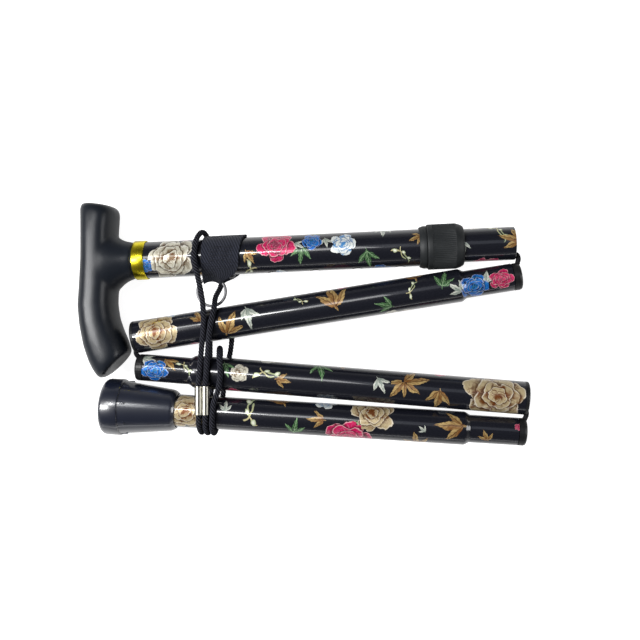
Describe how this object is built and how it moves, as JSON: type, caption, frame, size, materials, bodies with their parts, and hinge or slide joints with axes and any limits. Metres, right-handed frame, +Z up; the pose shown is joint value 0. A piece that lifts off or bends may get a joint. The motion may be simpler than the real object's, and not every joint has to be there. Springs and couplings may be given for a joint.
{
  "type": "folding walking cane",
  "caption": "Floral folding walking cane with a derby handle, lock collar, rubber tip and wrist cord, folded flat.",
  "frame": {"origin": "on the floor under the middle of the folded cane's bounding box", "axes": "+X runs along the folded tubes from the handle towards the first section's mouth, +Y points from the rubber tip's section towards the first section, across the folded sections, and +Z is up, out of the plane that the tube axes share"},
  "size_m": [0.2702, 0.1452, 0.034],
  "materials": {
    "handle_plastic": "satin dark charcoal",
    "gold_anodised": "gold anodised, bright",
    "printed_tube": "glossy black lacquer over a printed floral pattern, aluminium tube",
    "lock_plastic": "matte black, fine axial ribs on the nut",
    "bush_plastic": "smooth black",
    "tip_rubber": "satin dark grey",
    "bright_steel": "bright plated steel",
    "webbing": "black twill webbing",
    "braided_cord": "black braid",
    "elastic_cord": "black braided elastic"
  },
  "bodies": {
    "upper_part": {"handle": "handle_plastic", "handle_screw": "bright_steel", "neck_ring": "gold_anodised", "upper_tube": "printed_tube", "lock_sleeve": "lock_plastic", "wrist_band": "webbing", "split_ring": "bright_steel", "wrist_cord": "braided_cord", "cord_ferrule": "bright_steel"},
    "lock_nut": {"lock_nut": "lock_plastic"},
    "section_1": {"tube_1": "printed_tube", "mouth_bush_1": "bush_plastic", "snap_spring": "bright_steel", "top_anchor": "bush_plastic", "top_knot": "elastic_cord", "shock_cord_1": "elastic_cord", "shock_cord_loop_1": "elastic_cord"},
    "button": {"snap_button": "bright_steel"},
    "section_2": {"tube_2": "printed_tube", "mouth_bush_2": "bush_plastic", "cord_plug_2": "bush_plastic", "shock_cord_2": "elastic_cord", "shock_cord_loop_2": "elastic_cord"},
    "section_3": {"tube_3": "printed_tube", "mouth_bush_3": "bush_plastic", "cord_plug_3": "bush_plastic", "shock_cord_3": "elastic_cord", "shock_cord_loop_3": "elastic_cord"},
    "section_4": {"tube_4": "printed_tube", "cord_plug_4": "bush_plastic", "rubber_tip": "tip_rubber", "tip_washer": "bright_steel", "tip_anchor": "bush_plastic", "tip_knot": "elastic_cord", "shock_cord_4": "elastic_cord"}
  },
  "joints": [
    {"name": "height_adjust", "type": "slide", "parent": "upper_part", "child": "section_1", "axis": [0.9992, 0.0401, 0], "range_m": [0, 0.1016], "deforming": ["snap_button", "wrist_cord", "cord_ferrule"]},
    {"name": "lock_nut_turn", "type": "hinge", "parent": "upper_part", "child": "lock_nut", "pos_m": [-0.10019, 0.03717, 0.017], "axis": [0.9992, 0.0401, 0], "range_deg": [0, 270]},
    {"name": "button_press", "type": "slide", "parent": "section_1", "child": "button", "axis": [-0.0401, 0.9992, 0], "range_m": [0, 0.0033], "stiffness_N_per_m": 1500, "deforming": ["snap_spring"]},
    {"name": "fold_1", "type": "hinge", "parent": "section_1", "child": "section_2", "pos_m": [0.12981, 0.03681, 0.017], "axis": [0, 0, 1], "range_deg": [0, 173.29], "deforming": ["shock_cord_loop_1", "wrist_cord", "cord_ferrule"]},
    {"name": "fold_2", "type": "hinge", "parent": "section_2", "child": "section_3", "pos_m": [-0.10102, -0.01839, 0.017], "axis": [0, 0, -1], "range_deg": [0, 166.7], "deforming": ["shock_cord_loop_2", "wrist_cord", "cord_ferrule"]},
    {"name": "fold_3", "type": "hinge", "parent": "section_3", "child": "section_4", "pos_m": [0.13401, -0.05479, 0.017], "axis": [0, 0, 1], "range_deg": [0, 178.75], "deforming": ["shock_cord_loop_3", "wrist_cord", "cord_ferrule"]}
  ],
  "couplings": [
    {"joint": "fold_2", "follows": "fold_1", "ratio": 0.96194},
    {"joint": "fold_3", "follows": "fold_1", "ratio": 1.0315}
  ]
}
